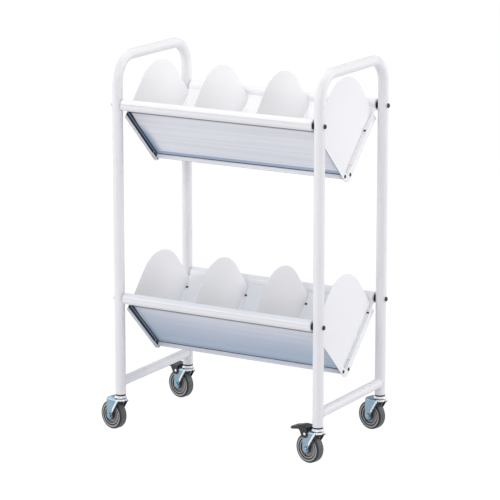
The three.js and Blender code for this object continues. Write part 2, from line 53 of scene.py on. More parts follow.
# %% [markdown]
# A piece goes where the solids say, so the main places are read from their boxes.
# Everything is in metres: X runs along the troughs, -Y is the front, Z is up.

# %% Read the main places from the solids
def node_middle(name):
    """The middle of a solid's box: half the sum of its two corners."""
    low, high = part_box(name)
    return (np.array(low) + np.array(high)) / 2


RAIL_Z = {tier: node_middle(f"{tier}_rail_front")[2] for tier in ("lower", "upper")}
LEG_X = node_middle("side_frame_right")[0]
LEG_Y = node_middle("lower_rail_back")[1]
TUBE_R = 0.0136
LEG_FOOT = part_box("side_frame_right")[0][2]
HANDLE_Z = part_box("side_frame_right")[1][2] - TUBE_R
CROSS_Z = node_middle("cross_tube_right")[2]
RAIL_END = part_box("lower_rail_front")[1][0]
TROUGH_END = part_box("lower_trough_front_wall")[1][0]
WALL_TURN = math.radians(44.3)
COS, SIN = math.cos(WALL_TURN), math.sin(WALL_TURN)
SHEET_THICKNESS = 0.0012
print("legs at", round(LEG_X, 4), round(LEG_Y, 4), "rails at", RAIL_Z)

# %% [markdown]
# Most surfaces below are grids: a profile of points carried along a path or round an axis.
# One helper turns a grid's rows and columns into faces, and one turns points and faces into a piece
# that rides on a body. Smooth shading stops at edges sharper than a given angle.

# %% Grid faces and finished pieces
def grid_faces(rows, cols, close_rows=False, close_cols=False):
    """Four corners per cell: a point, its neighbour in the row, and the two below them."""
    i = np.arange(rows if close_rows else rows - 1)[:, None]
    j = np.arange(cols if close_cols else cols - 1)[None, :]
    below, beside = (i + 1) % rows, (j + 1) % cols
    cells = [i * cols + j, i * cols + beside, below * cols + beside, below * cols + j]
    return np.stack(np.broadcast_arrays(*cells), axis=-1).reshape(-1, 4).tolist()


def make_piece(name, points, faces, finish, body, stands_for=(), crease=38):
    """Doubles are merged, faces turned outwards, and the piece tied to its body and slot."""
    mesh = bpy.data.meshes.new(name)
    mesh.from_pydata(np.asarray(points, float).tolist(), [], faces)
    work = bmesh.new()
    work.from_mesh(mesh)
    bmesh.ops.remove_doubles(work, verts=work.verts, dist=2e-6)
    bmesh.ops.dissolve_degenerate(work, edges=work.edges, dist=1e-7)
    bmesh.ops.recalc_face_normals(work, faces=work.faces)
    work.to_mesh(mesh)
    work.free()
    mesh.shade_smooth()
    mesh.set_sharp_from_angle(angle=math.radians(crease))
    mesh.materials.append(finish)
    piece = bpy.data.objects.new(name, mesh)
    scene.collection.objects.link(piece)
    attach(piece, body)
    if stands_for:
        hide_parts(*stands_for)
    return piece


def vertex_spots(piece):
    """Every vertex of a piece as a row of X, Y and Z."""
    spots = np.empty(len(piece.data.vertices) * 3)
    piece.data.vertices.foreach_get("co", spots)
    return spots.reshape(-1, 3)


def store_value(piece, name, values):
    """One number per vertex, kept under a name that a material can read."""
    piece.data.attributes.new(name, "FLOAT", "POINT").data.foreach_set("value", values)


def joined(*parts):
    """Several point-and-face lists as one: each list's faces are counted on from the last."""
    starts = np.cumsum([0] + [len(points) for points, _ in parts])
    points = np.concatenate([points for points, _ in parts])
    faces = [[k + start for k in face] for (_, some), start in zip(parts, starts) for face in some]
    return points, faces


# %% [markdown]
# Powder coat is a thick, slightly pebbled paint. Its look comes from three small effects: a fine
# orange-peel relief, patches that are a touch glossier, and a faint drift in tone.
# The same three effects, with other values, suit moulded plastic, plating and rubber, so they are
# one node group with named inputs, placed in each material with its own numbers.

# %% A node group for surface grain
def socket(tree, name, side, kind="NodeSocketFloat", value=None):
    """A named input or output on a node group."""
    made = tree.interface.new_socket(name=name, in_out=side, socket_type=kind)
    if value is not None:
        made.default_value = value


def build_grain():
    """Fine noise gives the height; coarse noise, mapped to narrow ranges, the rest."""
    tree = bpy.data.node_groups.new("surface_grain", "ShaderNodeTree")
    socket(tree, "Fine Scale", "INPUT", value=900.0)
    socket(tree, "Coarse Scale", "INPUT", value=9.0)
    socket(tree, "Light Tone", "INPUT", "NodeSocketColor", (0.8, 0.8, 0.8, 1))
    socket(tree, "Dark Tone", "INPUT", "NodeSocketColor", (0.7, 0.7, 0.7, 1))
    socket(tree, "Roughness Low", "INPUT", value=0.35)
    socket(tree, "Roughness High", "INPUT", value=0.5)
    socket(tree, "Tone", "OUTPUT", "NodeSocketColor")
    socket(tree, "Roughness", "OUTPUT")
    socket(tree, "Height", "OUTPUT")
    add, link = tree.nodes.new, tree.links.new
    entry, leave = add("NodeGroupInput"), add("NodeGroupOutput")
    where = add("ShaderNodeTexCoord")
    fine, coarse = add("ShaderNodeTexNoise"), add("ShaderNodeTexNoise")
    fine.inputs["Detail"].default_value = 2.0
    coarse.inputs["Detail"].default_value = 4.0
    link(where.outputs["Object"], fine.inputs["Vector"])
    link(where.outputs["Object"], coarse.inputs["Vector"])
    link(entry.outputs["Fine Scale"], fine.inputs["Scale"])
    link(entry.outputs["Coarse Scale"], coarse.inputs["Scale"])
    tone = add("ShaderNodeMix")
    tone.data_type = "RGBA"
    link(coarse.outputs["Fac"], tone.inputs["Factor"])
    link(entry.outputs["Dark Tone"], tone.inputs["A"])
    link(entry.outputs["Light Tone"], tone.inputs["B"])
    gloss = add("ShaderNodeMapRange")
    link(coarse.outputs["Fac"], gloss.inputs["Value"])
    gloss.inputs["From Min"].default_value = 0.3
    gloss.inputs["From Max"].default_value = 0.7
    link(entry.outputs["Roughness Low"], gloss.inputs["To Min"])
    link(entry.outputs["Roughness High"], gloss.inputs["To Max"])
    link(tone.outputs["Result"], leave.inputs["Tone"])
    link(gloss.outputs["Result"], leave.inputs["Roughness"])
    link(fine.outputs["Fac"], leave.inputs["Height"])
    return tree


GRAIN = build_grain()
print("node group:", GRAIN.name)

# %% [markdown]
# Under the troughs little light reaches the folds, so shade is painted into the sheet's colour:
# a dark strip beside the end flanges, a thin line under the rail, a cool band along the valley, a
# cool tone that deepens towards the valley and faint cool streaks along the troughs. The same
# masks serve both tiers, so they are worked out from the depth below the nearest rail, on faces
# that look down. The end flanges' inner faces get a painted black line along the outer edge and a
# painted cool strip beside it. Inside the lower trough, which lies under the upper one, faces that
# look up are painted a little cooler as its shade as well.

# %% Arithmetic and smooth steps as nodes
def calc(tree, operation, *operands):
    """Arithmetic nodes over numbers or other nodes' outputs, from left to right."""
    result = operands[0]
    for other in operands[1:] or (0.0,):
        node = tree.nodes.new("ShaderNodeMath")
        node.operation = operation
        for place, value in zip(node.inputs, (result, other)):
            if isinstance(value, bpy.types.NodeSocket):
                tree.links.new(value, place)
            else:
                place.default_value = value
        result = node.outputs[0]
    return result


def fade(tree, value, start, end):
    """A smooth step: 0 where the value is at start, 1 where it is at end."""
    step = tree.nodes.new("ShaderNodeMapRange")
    step.interpolation_type = "SMOOTHSTEP"
    for name, given in (("Value", value), ("From Min", start), ("From Max", end)):
        if isinstance(given, bpy.types.NodeSocket):
            tree.links.new(given, step.inputs[name])
        else:
            step.inputs[name].default_value = given
    return step.outputs["Result"]


# %% A node group for the painted shade in the folds
# Each pair says where a mask is 0 and where it is 1, in metres or as a part of the normal.
# Every mask in this group paints shade into the sheet's colour.
LOOKS_DOWN, LOOKS_UP, LOOKS_IN = (-0.3, -0.5), (0.5, 0.65), (-0.5, -0.7)
LOWER_TIER = (0.6, 0.4)
STRIP_TAPER = (0.065, 0.015)
STRIP_WIDTH, STRIP_EXTRA, STRIP_SOFTNESS = 0.0025, 0.004, 0.004
RAIL_LINE, LOWER_RAIL_SHIFT = (0.0258, 0.0222), 0.005
VALLEY_LINE, VALLEY_BAND, VALLEY_DRIFT = (0.0052, 0.0034), (0.0155, 0.0115), (0.17, 0.03)
CORNER_WIDTH, CORNER_DEPTH = (0.036, 0.004), (0.04, 0.1)
FLANGE_LINE = ((-0.0052, -0.0042), (0.0030, 0.0018))
FLANGE_STRIP = ((-0.003, -0.002), (0.0066, 0.006))
DRIFT_BY_HEIGHT = {"From Min": 0.3, "From Max": 0.75, "To Min": 0.64, "To Max": 0.06}
OVER_RAIL = 0.05
RAIL_SHARE, BAND_SHARE, CORNER_SHARE, INSIDE_SHARE, STREAK_SHARE = 0.75, 0.8, 0.8, 0.18, 0.2
STREAK_SCALE, STREAK_STEP = (1.4, 40.0, 150.0), (0.35, 0.7)


def build_fold_shade():
    """Depth is rail height minus Z, wrapped at the tier pitch; each mask is a smooth step of depth,
    or of the distance to the trough's end, to the valley or, on a flange, to the wall's plane."""
    tree = bpy.data.node_groups.new("fold_shade", "ShaderNodeTree")
    for name, value in (("Rail Height", 0.35), ("Tier Pitch", 0.5), ("Trough End", 0.277),
                        ("Valley Depth", 0.1533)):
        socket(tree, name, "INPUT", value=value)
    for name in ("Dark", "Cool", "Streak"):
        socket(tree, name, "OUTPUT")
    entry, leave = tree.nodes.new("NodeGroupInput"), tree.nodes.new("NodeGroupOutput")
    where = tree.nodes.new("ShaderNodeTexCoord")
    place, facing = tree.nodes.new("ShaderNodeSeparateXYZ"), tree.nodes.new("ShaderNodeSeparateXYZ")
    tree.links.new(where.outputs["Object"], place.inputs[0])
    tree.links.new(where.outputs["Normal"], facing.inputs[0])
    x, y, z = place.outputs

    below = calc(tree, "SUBTRACT", entry.outputs["Rail Height"], z)
    wrapped = calc(tree, "FLOORED_MODULO", calc(tree, "ADD", below, OVER_RAIL),
                   entry.outputs["Tier Pitch"])
    depth = calc(tree, "SUBTRACT", wrapped, OVER_RAIL)
    to_end = calc(tree, "SUBTRACT", entry.outputs["Trough End"], calc(tree, "ABSOLUTE", x))
    to_valley = calc(tree, "SUBTRACT", entry.outputs["Valley Depth"], depth)
    lower = fade(tree, z, *LOWER_TIER)
    down = fade(tree, facing.outputs["Z"], *LOOKS_DOWN)

    widening = calc(tree, "MULTIPLY", fade(tree, depth, *STRIP_TAPER), STRIP_EXTRA)
    width = calc(tree, "ADD", STRIP_WIDTH, widening)
    end_strip = fade(tree, to_end, calc(tree, "ADD", width, STRIP_SOFTNESS), width)
    under_rail = calc(tree, "SUBTRACT", depth, calc(tree, "MULTIPLY", lower, LOWER_RAIL_SHIFT))
    rail_line = calc(tree, "MULTIPLY", fade(tree, under_rail, *RAIL_LINE), RAIL_SHARE)
    valley_line = fade(tree, to_valley, *VALLEY_LINE)
    dark = calc(tree, "MAXIMUM", end_strip, rail_line, valley_line)

    band = calc(tree, "MULTIPLY", fade(tree, to_valley, *VALLEY_BAND), BAND_SHARE)
    by_height = tree.nodes.new("ShaderNodeMapRange")
    tree.links.new(z, by_height.inputs["Value"])
    for name, value in DRIFT_BY_HEIGHT.items():
        by_height.inputs[name].default_value = value
    drift = calc(tree, "MULTIPLY", fade(tree, to_valley, *VALLEY_DRIFT), by_height.outputs["Result"])
    corner = calc(tree, "MULTIPLY", fade(tree, to_end, *CORNER_WIDTH),
                  fade(tree, depth, *CORNER_DEPTH), CORNER_SHARE)
    cool = calc(tree, "MAXIMUM", band, drift, corner)
    up = fade(tree, facing.outputs["Z"], *LOOKS_UP)
    inside = calc(tree, "MULTIPLY", up, lower, INSIDE_SHARE)

    from_leg = calc(tree, "SUBTRACT", LEG_Y, calc(tree, "ABSOLUTE", y))
    off_wall = calc(tree, "SUBTRACT", calc(tree, "MULTIPLY", from_leg, SIN),
                    calc(tree, "MULTIPLY", depth, COS))
    inward = calc(tree, "MULTIPLY", facing.outputs["X"], calc(tree, "SIGN", x))
    line, strip = (calc(tree, "MULTIPLY", fade(tree, inward, *LOOKS_IN),
                        fade(tree, off_wall, *rise), fade(tree, off_wall, *fall))
                   for rise, fall in (FLANGE_LINE, FLANGE_STRIP))

    stretch = tree.nodes.new("ShaderNodeMapping")
    stretch.inputs["Scale"].default_value = STREAK_SCALE
    tree.links.new(where.outputs["Object"], stretch.inputs["Vector"])
    streaks = tree.nodes.new("ShaderNodeTexNoise")
    streaks.inputs["Scale"].default_value = 1.0
    streaks.inputs["Detail"].default_value = 3.0
    tree.links.new(stretch.outputs["Vector"], streaks.inputs["Vector"])
    streak = fade(tree, streaks.outputs["Fac"], *STREAK_STEP)

    dark, cool, streak = (calc(tree, "MULTIPLY", mask, down) for mask in (dark, cool, streak))
    tree.links.new(calc(tree, "MAXIMUM", dark, line), leave.inputs["Dark"])
    tree.links.new(calc(tree, "MAXIMUM", cool, inside, strip), leave.inputs["Cool"])
    tree.links.new(streak, leave.inputs["Streak"])
    return tree


FOLD_SHADE = build_fold_shade()
print("node group:", FOLD_SHADE.name)

# %% [markdown]
# Each finish is a Principled shader fed by the grain group. Numbers that are the same all over
# the surface, such as metallic on plain zinc, sit on the shader's own sockets.

# %% Finishes made from the grain group
def grained(name, light, dark, rough, fine=900.0, coarse=9.0, bump=0.05, depth=0.0004, **fixed):
    """A material: grain tone to colour, grain roughness to roughness, grain height to a bump."""
    finish = bpy.data.materials.new(name)
    finish.use_nodes = True
    nodes, link = finish.node_tree.nodes, finish.node_tree.links.new
    shader = nodes["Principled BSDF"]
    grain = nodes.new("ShaderNodeGroup")
    grain.node_tree = GRAIN
    grain.inputs["Fine Scale"].default_value = fine
    grain.inputs["Coarse Scale"].default_value = coarse
    grain.inputs["Light Tone"].default_value = (*light, 1)
    grain.inputs["Dark Tone"].default_value = (*dark, 1)
    grain.inputs["Roughness Low"].default_value = rough[0]
    grain.inputs["Roughness High"].default_value = rough[1]
    relief = nodes.new("ShaderNodeBump")
    relief.inputs["Strength"].default_value = bump
    relief.inputs["Distance"].default_value = depth
    link(grain.outputs["Height"], relief.inputs["Height"])
    link(relief.outputs["Normal"], shader.inputs["Normal"])
    link(grain.outputs["Tone"], shader.inputs["Base Color"])
    link(grain.outputs["Roughness"], shader.inputs["Roughness"])
    for label, value in fixed.items():
        shader.inputs[label.replace("_", " ")].default_value = value
    return finish


POWDER = grained("white_powder_coat", (0.805, 0.795, 0.805), (0.77, 0.76, 0.772), (0.32, 0.44),
                 fine=1100, coarse=7, bump=0.12, depth=0.0003)
SHEET = grained("white_sheet_coat", (0.88, 0.872, 0.88), (0.85, 0.842, 0.854), (0.38, 0.5),
                fine=1100, coarse=5, bump=0.12, depth=0.0003)
BLACK_PLASTIC = grained("black_plug_plastic", (0.010, 0.010, 0.011), (0.006, 0.006, 0.007),
                        (0.42, 0.56), fine=2200, coarse=40, bump=0.18)
BLACK_STEEL = grained("black_bolt_steel", (0.014, 0.0145, 0.016), (0.008, 0.0085, 0.009),
                      (0.34, 0.48), fine=1800, coarse=60, bump=0.1)
ZINC_TONES = ((0.34, 0.47, 0.56), (0.20, 0.30, 0.39))
ZINC = grained("bright_zinc", *ZINC_TONES, (0.18, 0.34), fine=600, coarse=55, bump=0.06, Metallic=1.0)
BRIGHT = grained("bright_steel", (0.86, 0.88, 0.9), (0.74, 0.77, 0.8), (0.2, 0.34),
                 fine=600, coarse=55, bump=0.05, Metallic=1.0)


def mix_tones(finish, steps):
    """The grain's tone, mixed towards each step's colour by its mask, as the base colour."""
    nodes, link = finish.node_tree.nodes, finish.node_tree.links.new
    tone = next(n for n in nodes if n.type == "GROUP" and n.node_tree == GRAIN).outputs["Tone"]
    for amount, colour in steps:
        blend = nodes.new("ShaderNodeMix")
        blend.data_type = "RGBA"
        link(amount, blend.inputs["Factor"])
        link(tone, blend.inputs["A"])
        blend.inputs["B"].default_value = (*colour, 1)
        tone = blend.outputs["Result"]
    link(tone, nodes["Principled BSDF"].inputs["Base Color"])


def shade_folds(finish):
    """Painted shade: Streak and Cool lead to a cool grey, Dark to black."""
    folds = finish.node_tree.nodes.new("ShaderNodeGroup")
    folds.node_tree = FOLD_SHADE
    folds.inputs["Rail Height"].default_value = RAIL_Z["lower"]
    folds.inputs["Tier Pitch"].default_value = RAIL_Z["upper"] - RAIL_Z["lower"]
    folds.inputs["Trough End"].default_value = TROUGH_END - SHEET_THICKNESS
    faint = calc(finish.node_tree, "MULTIPLY", folds.outputs["Streak"], STREAK_SHARE)
    mix_tones(finish, ((faint, (0.45, 0.52, 0.64)), (folds.outputs["Cool"], (0.23, 0.35, 0.51)),
                       (folds.outputs["Dark"], (0.012, 0.014, 0.02))))


shade_folds(SHEET)
print("finishes:", len(bpy.data.materials))

# %% [markdown]
# A wheel shows rings of painted light and shade over its own tints: the tyre is painted dark at
# its shoulder, then pale, then black in the gap beside the core, and the core has a painted pale lip
# round a darker, shaded web. The rings follow the wheel, so each piece stores how far every point
# lies from its axle, and the material reads that as a share of the wheel's radius.

# %% Ringed finishes for the wheels
WHEEL_R = 0.0375
# Each ring is where it starts, as a share of the wheel's radius, and its grey; the greys are painted
# light and shade.
TYRE_RINGS = ((0.0, 0.006), (0.755, 0.40), (0.862, 0.016), (0.985, 0.10))
CORE_RINGS = ((0.0, 0.10), (0.13, 0.30), (0.25, 0.03), (0.30, 0.17), (0.40, 0.24), (0.48, 0.17),
              (0.535, 0.02), (0.585, 0.36))


def build_ringed(name, rings, tint, rough):
    """Steps of grey along the stored radius, each a share of the wheel's; the grain gives the rest."""
    finish = grained(name, (1.0, 1.0, 1.0), (0.82, 0.82, 0.82), rough, fine=1500, coarse=60, bump=0.15)
    nodes, link = finish.node_tree.nodes, finish.node_tree.links.new
    grain = next(n for n in nodes if n.type == "GROUP")
    radius = nodes.new("ShaderNodeAttribute")
    radius.attribute_name = "from_axle"
    steps = nodes.new("ShaderNodeValToRGB")
    steps.color_ramp.interpolation = "CONSTANT"
    marks = steps.color_ramp.elements
    while len(marks) < len(rings):
        marks.new(1.0)
    for mark, (place, grey) in zip(marks, rings):
        mark.position = place
        mark.color = (*(grey * np.array(tint)), 1)
    link(calc(finish.node_tree, "DIVIDE", radius.outputs["Fac"], WHEEL_R), steps.inputs["Fac"])
    blend = nodes.new("ShaderNodeMix")
    blend.data_type = "RGBA"
    blend.blend_type = "MULTIPLY"
    blend.inputs["Factor"].default_value = 1.0
    link(steps.outputs["Color"], blend.inputs["A"])
    link(grain.outputs["Tone"], blend.inputs["B"])
    link(blend.outputs["Result"], nodes["Principled BSDF"].inputs["Base Color"])
    return finish


RUBBER = build_ringed("ringed_tyre_rubber", TYRE_RINGS, (0.93, 0.98, 1.0), (0.48, 0.62))
CORE = build_ringed("ringed_wheel_core", CORE_RINGS, (1.05, 0.97, 0.98), (0.4, 0.52))
PAD_RUBBER = grained("brake_pad_rubber", (0.03, 0.03, 0.032), (0.02, 0.02, 0.022), (0.5, 0.66),
                     fine=1500, coarse=60, bump=0.15)

# %% [markdown]
# The stem is one turned piece, but only its disc is plated: the collar between the disc and the
# leg is black plastic, whose black also stands in for the shade under the leg, and the race under
# the disc is painted black as the shade in the gap between the disc and the fork's crown. Height
# tells them apart, so masks on Object Z mix the two looks.

# %% The caster stem's two-part finish
COLLAR_Z = LEG_FOOT - 0.0042
RACE_Z = LEG_FOOT - 0.0095
STEM_METAL = 0.35


def build_stem_finish():
    """Above the collar height or below the race height the colour is black and the metal off."""
    finish = grained("stem_zinc_and_collar", (0.90, 0.92, 0.94), (0.80, 0.83, 0.86), (0.22, 0.36),
                     fine=600, coarse=55, bump=0.06)
    nodes, link = finish.node_tree.nodes, finish.node_tree.links.new
    where, split = nodes.new("ShaderNodeTexCoord"), nodes.new("ShaderNodeSeparateXYZ")
    link(where.outputs["Object"], split.inputs["Vector"])
    # Above the collar height: black plastic and painted shade; below the race height: painted shade in
    # the gap.
    above = calc(finish.node_tree, "GREATER_THAN", split.outputs["Z"], COLLAR_Z)
    below = calc(finish.node_tree, "LESS_THAN", split.outputs["Z"], RACE_Z)
    collar_and_painted_shade = calc(finish.node_tree, "MAXIMUM", above, below)
    mix_tones(finish, ((collar_and_painted_shade, (0.012, 0.012, 0.014)),))
    plated = calc(finish.node_tree, "SUBTRACT", 1.0, collar_and_painted_shade)
    link(calc(finish.node_tree, "MULTIPLY", plated, STEM_METAL),
         nodes["Principled BSDF"].inputs["Metallic"])
    return finish


STEM = build_stem_finish()
print("finishes:", len(bpy.data.materials))

# %% [markdown]
# A side frame is one tube bent into an upside-down U. As a surface it is a circle carried along
# a path: at each place the circle stands square to the path. The path stays in one upright plane,
# so the X axis is always one of the circle's two directions.

# %% Bent side frames
BEND_R = 0.064
ROUND = np.linspace(0, 2 * np.pi, 40, endpoint=False)


def carried_circle(path, across, radius):
    """Each path point plus radius times (cos * across + sin * (along x across)); both ends capped."""
    along = np.gradient(path, axis=0)
    along /= np.linalg.norm(along, axis=1, keepdims=True)
    upright = np.cross(along, across)
    rings = (path[:, None] + radius * (np.cos(ROUND)[None, :, None] * np.asarray(across)
                                       + np.sin(ROUND)[None, :, None] * upright[:, None]))
    rows, cols = rings.shape[:2]
    faces = grid_faces(rows, cols, close_cols=True)
    faces += [list(range(cols)), list(range((rows - 1) * cols, rows * cols))]
    return rings.reshape(-1, 3), faces


def frame_path(x):
    """Up one leg, a quarter turn, across, a quarter turn, down the other leg."""
    turn = np.linspace(0, np.pi / 2, 25)
    bend_y = LEG_Y - BEND_R + BEND_R * np.cos(turn)
    bend_z = HANDLE_Z - BEND_R + BEND_R * np.sin(turn)
    rise = np.linspace(LEG_FOOT, HANDLE_Z - BEND_R, 30)[:-1]
    half_y = np.concatenate([np.full(rise.size, LEG_Y), bend_y])
    half_z = np.concatenate([rise, bend_z])
    span = np.linspace(LEG_Y - BEND_R, BEND_R - LEG_Y, 8)[1:-1]
    y = np.concatenate([half_y, span, -half_y[::-1]])
    z = np.concatenate([half_z, np.full(span.size, HANDLE_Z), half_z[::-1]])
    return np.stack([np.full(y.size, x), y, z], axis=1)


for side, sign in (("left", -1), ("right", 1)):
    points, faces = carried_circle(frame_path(sign * LEG_X), (1.0, 0, 0), TUBE_R)
    make_piece(f"bent_frame_{side}", points, faces, POWDER, "frame",
               [f"side_frame_{side}"])
print("side frames rise to", round(HANDLE_Z + TUBE_R, 4))

# %% [markdown]
# The cross tube is welded between the legs. Its ends are coped, so they run just into the legs,
# and a bead of weld lies along the curve where the two round surfaces meet, under the paint.

# %% Cross tubes and their weld beads
CROSS_R = 0.0127
BEAD_R = 0.0021
COPE = 0.006


def meeting_curve(turn, sign):
    """On the cross tube at each angle, the place where it touches the leg: leg axis minus the leg's
    half-width at that sideways distance."""
    x, z = CROSS_R * np.cos(turn), CROSS_R * np.sin(turn)
    y = sign * (LEG_Y - np.sqrt(TUBE_R**2 - x**2))
    return np.stack([x, y, z], axis=1)


def weld_bead(centre, sign):
    """A small circle carried round the meeting curve, its size rippling as a hand weld does."""
    turn = np.linspace(0, 2 * np.pi, 96, endpoint=False)
    curve = meeting_curve(turn, sign)
    outward = np.stack([np.cos(turn), np.zeros_like(turn), np.sin(turn)], axis=1)
    inward = np.array([0, -sign, 0.0])
    ring = np.linspace(0, 2 * np.pi, 10, endpoint=False)
    size = BEAD_R * (1 + 0.09 * np.sin(34 * turn) + 0.05 * np.sin(13 * turn + 1))
    bead = curve[:, None] + size[:, None, None] * (
        np.cos(ring)[None, :, None] * outward[:, None] + np.sin(ring)[None, :, None] * inward)
    faces = grid_faces(turn.size, ring.size, True, True)
    return bead.reshape(-1, 3) + centre, faces


for side, sign in (("left", -1), ("right", 1)):
    centre = np.array([sign * LEG_X, 0, CROSS_Z])
    reach = LEG_Y - COPE
    path = centre + np.linspace([0, -reach, 0], [0, reach, 0], 12)
    points, faces = carried_circle(path, (1.0, 0, 0), CROSS_R)
    make_piece(f"welded_cross_{side}", points, faces, POWDER, "frame",
               [f"cross_tube_{side}"])
    points, faces = joined(weld_bead(centre, -1), weld_bead(centre, 1))
    make_piece(f"weld_beads_{side}", points, faces, POWDER, "frame", crease=60)
print("weld beads: 4")

# %% [markdown]
# The rails are straight tubes. The trough walls hook over them, so only a strip of each shows.

# %% Rails
for tier, height in RAIL_Z.items():
    for end, sign in (("front", -1), ("back", 1)):
        path = np.linspace([-RAIL_END, sign * LEG_Y, height], [RAIL_END, sign * LEG_Y, height], 10)
        points, faces = carried_circle(path, (0, 1.0, 0), TUBE_R)
        make_piece(f"round_{tier}_rail_{end}", points, faces, POWDER, "frame",
                   [f"{tier}_rail_{end}"])
print("rails: 4")

# %% [markdown]
# Trough walls and dividers are cut and folded sheet, and the solids have their true outline.
# A copy of each solid is merged into clean flat faces and its edges are eased by a small bevel,
# so that they catch the light as painted sheet edges do.

# %% Folded sheet with eased edges
def ease_edges(piece, width, angle):
    """A two-step bevel along the edges that are sharper than an angle in degrees."""
    ease = piece.modifiers.new("eased_edges", "BEVEL")
    ease.width = width
    ease.segments = 2
    ease.limit_method = "ANGLE"
    ease.angle_limit = math.radians(angle)
    return ease


def eased_copy(node, finish, body, width, crease=40):
    """The solid's triangles, merged, flat regions joined, and a bevel along the sharp edges."""
    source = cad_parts[node].data
    mesh = bpy.data.meshes.new(f"{node}_eased")
    work = bmesh.new()
    work.from_mesh(source)
    bmesh.ops.remove_doubles(work, verts=work.verts, dist=1e-6)
    bmesh.ops.dissolve_limit(work, angle_limit=math.radians(1), verts=work.verts, edges=work.edges)
    work.to_mesh(mesh)
    work.free()
    mesh.materials.clear()
    mesh.materials.append(finish)
    mesh.shade_smooth()
    mesh.set_sharp_from_angle(angle=math.radians(crease))
    piece = bpy.data.objects.new(f"{node}_eased", mesh)
    scene.collection.objects.link(piece)
    ease_edges(piece, width, crease).harden_normals = True
    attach(piece, body)
    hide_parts(node)
    return piece


WALL_EASE, DIVIDER_EASE = 0.00035, 0.00045

for tier in RAIL_Z:
    for end in ("front", "back"):
        eased_copy(f"{tier}_trough_{end}_wall", SHEET, "frame", WALL_EASE)
    for i in range(1, 5):
        eased_copy(f"{tier}_divider_{i}", SHEET, "frame", DIVIDER_EASE)
print("folded sheets: 12")

# %% [markdown]
# A black plastic plug closes each rail's end with a thin flange next to the leg, and a black bolt
# goes through it. On the left legs the bolt heads are painted like the frame. Plugs and bolts are
# turned: a profile of radius and height carried round an axis.

# %% End plugs and rail bolts
def turned(profile, sides=40):
    """Each profile pair (radius, height) carried round the Z axis: (r cos, r sin, h)."""
    profile = np.asarray(profile, float)
    turn = np.linspace(0, 2 * np.pi, sides, endpoint=False)
    radius, height = profile[:, 0, None], profile[:, 1, None]
    points = np.stack([radius * np.cos(turn), radius * np.sin(turn),
                       np.broadcast_to(height, (len(profile), sides))], axis=-1)
    return points.reshape(-1, 3), grid_faces(len(profile), sides, close_cols=True)


def placed(points, origin, axes):
    """Local points in the row frame: the origin plus each coordinate along its own axis."""
    return np.asarray(origin) + points @ np.asarray(axes, float)


def domed_head(radius, height, socket_radius, shank_radius, shank):
    """A button head: a quarter-ellipse dome with a round socket sunk in it, and a shank."""
    sweep = np.linspace(0, np.pi / 2, 9)[:-2]
    dome = np.stack([radius * np.cos(sweep), height * (0.35 + 0.65 * np.sin(sweep))], axis=1)
    lip = dome[-1, 1] + height * 0.02
    return np.concatenate([
        [[0, -shank], [shank_radius, -shank], [shank_radius, 0], [radius * 0.97, 0],
         [radius, height * 0.08]], dome,
        [[socket_radius, lip], [socket_radius * 0.93, lip - height * 0.04],
         [socket_radius * 0.9, height * 0.45], [0, height * 0.38]]])


PLUG_PROFILE = np.array([[0, -16], [10.7, -16], [11.7, -15], [11.7, -0.3], [8.8, 0.1], [9.2, 0.4],
                         [9.2, 2.4], [8.9, 2.7], [0, 2.7]]) / 1000
BOLT_PROFILE = domed_head(radius=0.006, height=0.0042, socket_radius=0.0026, shank_radius=0.003,
                          shank=0.05)
BOLT_GAP = 0.0003

for tier, height in RAIL_Z.items():
    for end, y_sign in (("front", -1), ("back", 1)):
        for side, x_sign in (("left", -1), ("right", 1)):
            tag = f"{end}_{side}"
            axes = ((0, 1, 0), (0, 0, x_sign), (x_sign, 0, 0))
            points, faces = turned(PLUG_PROFILE, 40)
            rail_tip = (x_sign * RAIL_END, y_sign * LEG_Y, height)
            make_piece(f"turned_plug_{tier}_{tag}", placed(points, rail_tip, axes), faces,
                       BLACK_PLASTIC, "frame", [f"{tier}_plug_{tag}"])
            points, faces = turned(BOLT_PROFILE, 36)
            seat = (x_sign * (LEG_X + TUBE_R + BOLT_GAP), y_sign * LEG_Y, height)
            make_piece(f"button_bolt_{tier}_{tag}", placed(points, seat, axes), faces,
                       POWDER if side == "left" else BLACK_STEEL, "frame",
                       [f"{tier}_bolt_{tag}"], crease=30)
print("plugs and bolts: 16")

# %% [markdown]
# Each caster has its own frame: X along the trail, Y along the axle, Z up through the leg.

# %% The casters' own axes
TRAIL = 0.026
HEADING = math.radians(166.7)
CASTER_AXES = np.array([[math.cos(HEADING), math.sin(HEADING), 0],
                        [-math.sin(HEADING), math.cos(HEADING), 0], [0, 0, 1]])
AXLE_AXES = CASTER_AXES[[2, 0, 1]]
CASTERS = [(f"{end}_{side}", np.array([sx * LEG_X, sy * LEG_Y, 0]), sx * sy < 0)
           for end, sy in (("front", -1), ("back", 1))
           for side, sx in (("left", -1), ("right", 1))]
HUB = TRAIL * CASTER_AXES[0] + np.array([0, 0, WHEEL_R])
print("casters:", [place for place, _, _ in CASTERS])

# %% [markdown]
# The stem is turned: a riveted pin below, a race and a rounded disc, the collar and the plug that
# is pressed into the leg.

# %% Caster stems
STEM_PROFILE = np.array([
    [0, 79.2], [4.0, 79.2], [6.2, 80.0], [7.0, 81.2], [7.0, 82.2], [4.5, 82.2], [4.5, 85.8],
    [11.7, 85.8], [12.0, 86.1], [12.0, 87.0], [15.2, 87.0], [15.8, 87.3], [16.0, 87.9],
    [15.8, 88.7], [15.2, 89.4], [14.5, 90.2], [13.9, 90.7], [13.6, 91.0], [13.6, 96.9],
    [13.3, 97.3], [11.7, 97.3], [11.7, 136], [9.7, 137.3], [0, 137.3]]) / 1000
for place, foot, _ in CASTERS:
    points, faces = turned(STEM_PROFILE, 48)
    make_piece(f"turned_stem_{place}", points + foot, faces, STEM, "frame",
               [f"caster_stem_{place}"], crease=32)
print("stems: 4")

